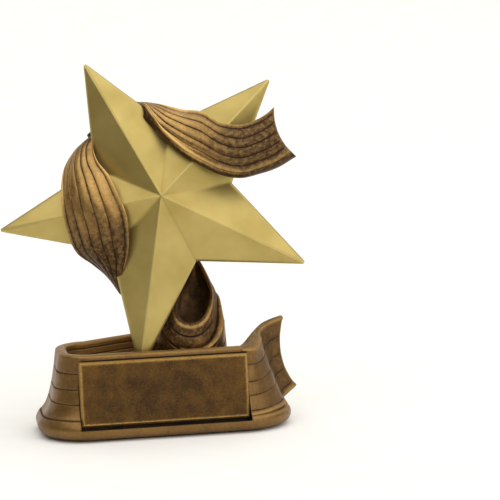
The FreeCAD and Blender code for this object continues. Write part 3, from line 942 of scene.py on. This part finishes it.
def makeFloor():
    # the sunken floor inside the band, slightly uneven as cast; it runs a little way into the wall
    offset = baseShape["corner"] - baseShape["wall"] + 0.5
    outline = []
    for rightSide, rearSide, start in (
            (True, True, 0), (False, True, 90), (False, False, 180), (True, False, 270)):
        angles = np.radians(np.linspace(start, start + 90, 12))
        out = np.stack([np.cos(angles), np.sin(angles)], axis=1)
        outline.append(cornerCentre(rightSide, rearSide) + offset * out)
    outline = np.concatenate(outline)
    middle = outline.mean(axis=0)
    height, lengthX, lengthY = baseShape["floorWave"]
    rings = []
    for inward in np.linspace(0.03, 1, 24):
        flat = middle + inward * (outline - middle)
        wave = height * np.sin(flat[:, 0] / lengthX) * np.sin(flat[:, 1] / lengthY)
        rings.append(np.column_stack([flat, baseShape["floor"] + wave]))
    low = rings[-1].copy()
    low[:, 2] = baseShape["felt"]
    rings = np.array(rings + [low])[::-1]
    blank = np.zeros(rings.shape[:2])
    marks = {"groove": blank, "rubbedAndSheen": blank + 0.3, "stainAndShade": blank + 0.1}
    piece = ringPiece("baseFloor", rings, marks, rings[..., :2])
    finishPiece(piece, baseBronze, "bronze_resin", "base_core")


leftTurn, turnEnd = makeLeftTurn()
frontWall, frontEnd = makeFrontWall(turnEnd)
makeRearWall()
rightFoot = makeRightFoot(frontEnd)
makeFloor()
print("base made")


# plaque: a bevelled plate that leans back in its seat
plaqueShape = {
    "centreX": -2.5,
    "width": 110,
    "height": 42,
    "thickness": 5,
    "seatY": -37.2,
    "bottom": 9,
    "lean": 6.8,
    "tape": 0.8,
    "bevel": 1.4,
    "rim": 0.35,
    "sideMargin": 0.5,
    "topMargin": 0.9,
    "lowMargin": 1.8,
    "cutDepth": 60,
    "bevelSteps": (0, 0.15, 0.5, 0.85, 1, 1.3, 1.7),  # shares of the bevel
    "fieldMargin": 3,
    "columns": 90,
    "rows": 40,
    "wave": (0.12, 9, 6),  # height, and its lengths across and up
}


def plaquePoints(local):
    # local X across, Y outwards from the seat, Z up the plate
    lean = math.radians(plaqueShape["lean"])
    x = plaqueShape["centreX"] + local[..., 0]
    y = plaqueShape["seatY"] - local[..., 1] * math.cos(lean) + local[..., 2] * math.sin(lean)
    z = plaqueShape["bottom"] + local[..., 1] * math.sin(lean) + local[..., 2] * math.cos(lean)
    return np.stack([x, y, z], axis=-1)


def makePlaque():
    bevel = plaqueShape["bevel"]
    half = plaqueShape["width"] / 2
    tall = plaqueShape["height"]
    margin = plaqueShape["fieldMargin"]
    edge = np.array(plaqueShape["bevelSteps"]) * bevel
    field = np.linspace(margin - half, half - margin, plaqueShape["columns"])
    across = np.concatenate([edge - half, field, half - edge[::-1]])
    field = np.linspace(margin, tall - margin, plaqueShape["rows"])
    up = np.concatenate([edge, field, tall - edge[::-1]])
    x, z = np.meshgrid(across, up)
    inside = np.minimum(half - np.abs(x), np.minimum(z, tall - z))
    waveHeight, waveAcross, waveUp = plaqueShape["wave"]
    wave = waveHeight * np.sin(x / waveAcross + 1) * np.sin(z / waveUp)
    wave = wave * np.clip((inside - margin) / 4, 0, 1)
    y = plaqueShape["tape"] + plaqueShape["thickness"] - bevel * np.clip(1 - inside / bevel, 0, 1)
    y += plaqueShape["rim"] * bell(inside - bevel, 0.5) + wave
    index = np.arange(x.size).reshape(x.shape)
    loop = np.concatenate([index[0], index[1:, -1], index[-1, -2::-1], index[-2:0:-1, 0]])
    count = len(loop)
    backLocal = np.column_stack([x.ravel()[loop], np.full(count, plaqueShape["tape"]), z.ravel()[loop]])
    front = plaquePoints(np.stack([x, y, z], axis=-1)).reshape(-1, 3)
    points = np.concatenate([front, plaquePoints(backLocal)])
    behind = np.arange(len(front), len(points))
    rim = np.stack([np.append(behind, behind[0]), np.append(loop, loop[0])])
    faces = gridFaces(index) + gridFaces(rim)
    faces.append(behind.tolist())
    ragged = 0.25 * random.random(inside.shape)
    worn = np.clip(bell(inside - 0.7 * bevel, 1.1) - ragged, 0, 1)
    dark = 0.5 * bell(x / (0.9 * half), 1) * bell((z - 0.45 * tall) / (0.6 * tall), 1)
    side = np.full(count, 0.3)
    marks = {
        "groove": np.concatenate([np.zeros(x.size), side + 0.05]),
        "rubbedAndSheen": np.concatenate([worn.ravel(), side]),
        "stainAndShade": np.concatenate([dark.ravel(), side])}
    coords = np.concatenate([np.stack([x.ravel(), z.ravel()], axis=1), backLocal[:, [0, 2]]])
    piece = makePiece("plaquePlate", points, faces, marks, coords, sharp=50)
    finishPiece(piece, plaqueBronze, "plaque_bronze", "plaque")


def cutAway(cutter, *pieces):
    for piece in pieces:
        cut = piece.modifiers.new("cut", "BOOLEAN")
        cut.operation = "DIFFERENCE"
        cut.solver = "EXACT"
        cut.material_mode = "TRANSFER"
        cut.object = cutter
        bpy.context.view_layer.update()
        ready = piece.evaluated_get(bpy.context.evaluated_depsgraph_get())
        result = bpy.data.meshes.new_from_object(ready)
        piece.modifiers.clear()
        piece.data = result
    bpy.data.objects.remove(cutter)


def makeSeatCutter():
    # the recess behind and below the plate, darkened as painted shade
    half = plaqueShape["width"] / 2 + plaqueShape["sideMargin"]
    ups = (-plaqueShape["lowMargin"], plaqueShape["height"] + plaqueShape["topMargin"])
    corners = [(x, y, z) for x in (-half, half) for y in (0, plaqueShape["cutDepth"]) for z in ups]
    # the plate's axes are left-handed, so the faces are listed the other way round
    faces = [(2, 3, 1, 0), (5, 7, 6, 4), (1, 5, 4, 0), (6, 7, 3, 2), (4, 6, 2, 0), (3, 7, 5, 1)]
    mesh = bpy.data.meshes.new("seatCutter")
    mesh.from_pydata((plaquePoints(np.array(corners, float)) * mm).tolist(), [], faces)
    mesh.materials.append(recessShadeBronze)
    return addObject("seatCutter", mesh)


makePlaque()
cutAway(makeSeatCutter(), leftTurn, frontWall, rightFoot, baseTail)
print("plaque made")


# scroll: centre x, centre y, half width and half depth at each height, in millimetres
scrollShape = {
    # height: middle in X and Y, half width and half depth
    "sections": {
        44: (19, 0, 22, 18.5),
        58: (19, -1, 21, 17.5),
        72: (20, 1, 19.5, 17),
        86: (24, 6.5, 15.5, 15.5),
        97: (26, 10, 9, 10.5),
        108: (27.5, 13.5, 2.5, 4),
    },
    "wall": 3,
    "lip": 1.7,
    "lipDepth": 9,
    "lipHeight": 0.9,
    "hollowFloor": 58,
    # front edge and slope of the plane that cuts the mouth, and of the coil's edge
    "mouth": (-17, 67.5, 52),
    "coilEdge": (-21.7, 53.3, 50),
    "coilReach": 3.2,
    "coilShift": 1.2,
    "coilTop": 86,
    "coilTopRound": 2.5,
    "coilCloses": (68, 17, 0.75),  # from this height, over this height, by this share
    "coilFrom": -112,
    "coilTo": 118,
    "coilRound": 1.7,
    "grooves": (5.2, 14),  # below the mouth
    "coilGrooves": (4.2, 0.42),  # below its edge, and as a share of its height
    "grooveWidth": 0.35,
    "grooveDepth": 0.7,
    "ribHeight": 0.35,
    "radius": 18,
    "around": 120,
    "up": 110,
    "inside": 40,
    "coilUp": 70,
    "cutterRings": (46, 107, 40),  # lowest, highest, how many
}


def scrollSection(z, grow):
    heights = np.array(list(scrollShape["sections"]), float)
    values = np.array(list(scrollShape["sections"].values()), float)
    # the piecewise height of the sections is turned into a place along them
    place = np.interp(z, heights, np.arange(len(heights)))
    x, y, halfWidth, halfDepth = smooth(values, np.atleast_1d(place)).T
    return x, y, np.maximum(halfWidth + grow, 0.2), np.maximum(halfDepth + grow, 0.2)


def planeAbove(points, plane):
    # how far each point lies below the sloping plane
    lowY, lowZ, slope = plane
    return lowZ + (points[..., 1] - lowY) * math.tan(math.radians(slope)) - points[..., 2]


def mouthHeight(angle, grow, plane):
    # where the wall at this angle meets the sloping plane, by halving
    low = np.full(angle.shape, float(baseShape["floor"]))
    high = np.full(angle.shape, float(max(scrollShape["sections"])))
    for _ in range(30):
        middle = (low + high) / 2
        x, y, halfWidth, halfDepth = scrollSection(middle, grow)
        wall = np.stack([
            x + halfWidth * np.cos(angle), y + halfDepth * np.sin(angle), middle], axis=-1)
        under = planeAbove(wall, plane) > 0
        low = np.where(under, middle, low)
        high = np.where(under, high, middle)
    return low


def scrollRings(angle, heights, grow, shift=0.0):
    rings = []
    for z in heights:
        x, y, halfWidth, halfDepth = scrollSection(z, grow)
        rings.append(np.stack([
            x + shift + halfWidth * np.cos(angle), y + halfDepth * np.sin(angle), z], axis=1))
    return np.array(rings)


def makeScroll():
    angle = np.linspace(0, 2 * np.pi, scrollShape["around"], endpoint=False)
    outerTop = mouthHeight(angle, 0, scrollShape["mouth"])
    innerTop = mouthHeight(angle, -scrollShape["lip"], scrollShape["mouth"])
    bottom = baseShape["floor"]
    up = np.linspace(0, 1, scrollShape["up"])[:, None]
    outer = scrollRings(angle, bottom + up * (outerTop - bottom - 0.5), 0)
    below = planeAbove(outer, scrollShape["mouth"])
    first, second = scrollShape["grooves"]
    width = scrollShape["grooveWidth"]
    groove = np.maximum(bell(below - first, width), bell(below - second, width))
    ribs = scrollShape["ribHeight"] * np.abs(np.sin(np.pi * (below - first) / (second - first))) ** 0.8
    relief = 0.2 * bell(below - 1.6, 1.4) + ribs - scrollShape["grooveDepth"] * groove
    out = np.stack([np.cos(angle), np.sin(angle), 0 * angle], axis=1)
    outer += out[None] * relief[..., None]
    inDown = np.linspace(0, 1, scrollShape["inside"])[:, None]
    heights = innerTop - 0.5 - inDown * (innerTop - 0.5 - scrollShape["hollowFloor"])
    # the wall thins to a lip at the mouth
    thicken = np.clip((innerTop - heights) / scrollShape["lipDepth"], 0, 1)[..., None]
    inner = scrollRings(angle, heights, -scrollShape["lip"]) * (1 - thicken)
    inner += scrollRings(angle, heights, -scrollShape["wall"]) * thicken
    turn = np.linspace(0, 1, 7)[1:-1, None, None]
    rim = outer[-1] * (1 - turn) + inner[0] * turn
    rim[..., 2] += scrollShape["lipHeight"] * np.sin(np.pi * turn[..., 0])
    centre = inner[-1].mean(axis=0)
    disc = centre + np.linspace(0.9, 0.05, 8)[:, None, None] * (inner[-1] - centre)
    rings = np.concatenate([outer, rim, inner, disc])
    blank = np.zeros(rings.shape[:2])
    # painted shade: the inside darkens with depth, and its bottom more still
    insideShade = np.linspace(0, 0.3, len(inner))[:, None] + 0 * angle
    marks = {
        "groove": np.concatenate([groove, blank[:len(rim)], insideShade, blank[:len(disc)] + 0.5]),
        "rubbedAndSheen": blank.copy(),
        "stainAndShade": blank + 0.1}
    marks["rubbedAndSheen"][:len(outer)] = np.clip(0.4 * bell(below, 0.7) + 0.3 * ribs - groove, 0, 1)
    marks["rubbedAndSheen"][len(outer) - 1:len(outer) + 1] = 0.4
    marks["stainAndShade"][:len(outer)] = 0.25 + 0.45 * bell(below - 1.5, 2.2)
    marks["stainAndShade"][len(outer):len(outer) + len(rim)] = 0.5
    coords = spread((angle * scrollShape["radius"], runLength(rings).mean(axis=1)[:, None]))
    piece = ringPiece("scrollRoll", rings, marks, coords)
    finishPiece(piece, polishedBronze, "bronze_resin", "scroll")


def makeCoil():
    ends = (scrollShape["coilFrom"], scrollShape["coilTo"])
    angle = np.radians(np.linspace(*ends, scrollShape["around"]))
    radius = scrollShape["radius"] + scrollShape["coilReach"] + 0.8
    # its rising edge levels off and closes on the roll
    soft = scrollShape["coilTopRound"]
    top = mouthHeight(angle, scrollShape["coilReach"], scrollShape["coilEdge"])
    top = -soft * np.logaddexp(-top / soft, -scrollShape["coilTop"] / soft)
    bottom = baseShape["floor"]
    tall = top - bottom
    up = borderSamples(scrollShape["coilUp"], 25, 1.6)[:, None]
    heights = bottom - 1 + up * (tall + 1)
    inner = scrollRings(angle, heights, 0.2)
    outer = scrollRings(angle, heights, scrollShape["coilReach"], scrollShape["coilShift"])
    closeFrom, closeOver, closeBy = scrollShape["coilCloses"]
    outer -= (outer - inner) * (closeBy * np.clip((heights - closeFrom) / closeOver, 0, 1))[..., None]
    middle = (outer + inner) / 2
    span = (outer - inner) / 2
    fromTop = (1 - up) * tall
    fromEnds = np.minimum(angle - angle[0], angle[-1] - angle)[None, :] * radius
    border = np.minimum(np.minimum(fromTop, fromEnds), up * tall)
    thin = roundOff(border, scrollShape["coilRound"])[..., None]
    bead = bell(fromTop - 1.7, 1.3)
    under, share = scrollShape["coilGrooves"]
    width = scrollShape["grooveWidth"]
    groove = np.maximum(bell(fromTop - under, width), bell((up - share) * tall, width))
    relief = (0.5 * bead - scrollShape["grooveDepth"] * groove)[..., None]
    front = middle + (span + unit(span) * relief) * thin
    back = middle - span * thin
    blank = np.zeros(border.shape)
    worn = np.clip(0.25 * bead + 0.1 - groove, 0, 1)
    coords = spread((angle * radius, up * 25))
    # the back side, against the roll, is darkened as painted shade
    piece = sheetPiece("scrollCoil", front, back, {
        "groove": (groove, blank + 0.5),
        "rubbedAndSheen": (worn, blank),
        "stainAndShade": (blank + 0.2, blank + 0.6)}, coords)
    finishPiece(piece, polishedBronze, "bronze_resin", "scroll_coil")


def makeHollowCutter():
    # the roll's outside less half its wall, so that the ribbon behind the star ends in the wall
    angle = np.linspace(0, 2 * np.pi, scrollShape["around"] // 2, endpoint=False)
    heights = [np.full(angle.shape, z) for z in np.linspace(*scrollShape["cutterRings"])]
    rings = scrollRings(angle, heights, -0.5 * scrollShape["wall"])
    piece = ringPiece("hollowCutter", rings, {}, rings[..., :2])
    piece.data.materials.append(polishedBronze)
    return piece


makeScroll()
makeCoil()
cutAway(makeHollowCutter(), lowerBackRibbon)
print("scroll made")


# pieces whose shape is right as it is
plainPieces = {
    "felt_pad": blackFelt,
    "drape_pins": brightSteel,
    "star_dowels": brightSteel,
    "star_foot_rod": brightSteel,
    "column_bolt": brightSteel,
    "bolt_washer": brightSteel,
    "column_insert": turnedBrass,
    "plaque_tape": whiteFoam,
}
for nodeName, material in plainPieces.items():
    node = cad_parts[nodeName]
    node.data.materials.clear()
    node.data.materials.append(material)
print("plain pieces given their materials")


# stage
stageLook = {
    "floor": "#F4F3F0",
    "floorFleck": "#FAFAF8",
    # the floor and its sweep, in metres
    "floorFront": -6.0,
    "floorSide": 7.0,
    "sweepStart": 3.0,
    "sweepRadius": 1.5,
    "wallTop": 6.0,
    "roomDark": "#5C5850",
    "roomLight": "#C9C4B8",
    "roomStrength": 0.6,
    "roomTurn": 35,
    # place is the direction the light comes from
    "sky": {"from": (0.14, -0.36, 0.92), "spread": 110, "power": 3.0, "tint": "#FFFEFC"},
    "lights": [
        # name, place, aim, size, watts, colour
        ("frontFill", (0.9, -1.5, 0.45), (0, 0, 0.13), 0.8, 2.5, "#FFFFFF"),
    ],
}


def makeFloorPlane():
    material, tree, shader = newMaterial("paleBackdropPaper", {"Roughness": 0.9})
    place = addNode(tree, "ShaderNodeTexCoord")
    fibre = addNode(tree, "ShaderNodeTexNoise", {
        "Vector": place.outputs["Object"], "Scale": grainSize(40), "Detail": 3.0})
    tint = addNode(tree, "ShaderNodeMix", {
        "Factor": fibre.outputs["Fac"],
        6: colour(stageLook["floor"]), 7: colour(stageLook["floorFleck"])}, data_type="RGBA")
    setInputs(tree, shader, {"Base Color": tint.outputs[2]})
    # a floor that sweeps up into a far backdrop
    radius = stageLook["sweepRadius"]
    profile = [(stageLook["floorFront"], 0.0)]
    for turn in np.linspace(0, math.pi / 2, 25):
        profile.append((
            stageLook["sweepStart"] + radius * math.sin(turn), radius * (1 - math.cos(turn))))
    profile.append((stageLook["sweepStart"] + radius, stageLook["wallTop"]))
    side = stageLook["floorSide"]
    points = [(x, y, z) for x in (-side, side) for y, z in profile]
    count = len(profile)
    faces = [(k, k + count, k + count + 1, k + 1) for k in range(count - 1)]
    mesh = bpy.data.meshes.new("backdrop")
    mesh.from_pydata(points, [], faces)
    mesh.shade_smooth()
    mesh.materials.append(material)
    addObject("backdrop", mesh)


def makeLights():
    for name, place, aim, size, watts, tint in stageLook["lights"]:
        data = bpy.data.lights.new(name, "AREA")
        data.size = size
        data.energy = watts
        data.color = colour(tint)[:3]
        lamp = addObject(name, data)
        lamp.location = place
        lamp.rotation_euler = (Vector(aim) - Vector(place)).to_track_quat("-Z", "Y").to_euler()
    sky = stageLook["sky"]
    data = bpy.data.lights.new("overheadSoftbox", "SUN")
    data.energy = sky["power"]
    data.angle = math.radians(sky["spread"])
    data.color = colour(sky["tint"])[:3]
    lamp = addObject("overheadSoftbox", data)
    lamp.rotation_euler = (-Vector(sky["from"])).to_track_quat("-Z", "Y").to_euler()
    # the room is dark at the front left and lighter at the back right
    world = bpy.data.worlds.new("studioRoom")
    world.use_nodes = True
    tree = world.node_tree
    place = addNode(tree, "ShaderNodeTexCoord")
    turned = addNode(tree, "ShaderNodeMapping", {"Vector": place.outputs["Generated"], "Rotation": (
        0.0, 0.0, -math.radians(stageLook["roomTurn"]))})
    parts = addNode(tree, "ShaderNodeSeparateXYZ", {"Vector": turned.outputs["Vector"]})
    share = addNode(tree, "ShaderNodeMapRange", {
        "Value": parts.outputs["X"], "From Min": -0.8, "From Max": 0.9})
    tint = addNode(tree, "ShaderNodeMix", {
        "Factor": share.outputs["Result"],
        6: colour(stageLook["roomDark"]), 7: colour(stageLook["roomLight"])}, data_type="RGBA")
    setInputs(tree, tree.nodes["Background"], {
        "Color": tint.outputs[2], "Strength": stageLook["roomStrength"]})
    bpy.context.scene.world = world


cameraShape = {
    "place": (-0.15497, -1.26211, 0.27029),
    "aim": (0.06447, 0.00953, 0.11289),
    "roll": 1.7,
    "lens": 139.3,
    "sensor": 36,
}


def makeCamera():
    data = bpy.data.cameras.new("camera")
    data.lens = cameraShape["lens"]
    data.sensor_width = cameraShape["sensor"]
    data.clip_end = 50
    camera = addObject("camera", data)
    place = Vector(cameraShape["place"])
    look = (Vector(cameraShape["aim"]) - place).to_track_quat("-Z", "Y").to_matrix().to_4x4()
    turn = Matrix.Rotation(math.radians(-cameraShape["roll"]), 4, "Z")
    camera.matrix_world = Matrix.Translation(place) @ look @ turn
    bpy.context.scene.camera = camera


makeFloorPlane()
makeLights()
makeCamera()
bpy.context.scene.view_settings.view_transform = "Standard"
print("stage made")
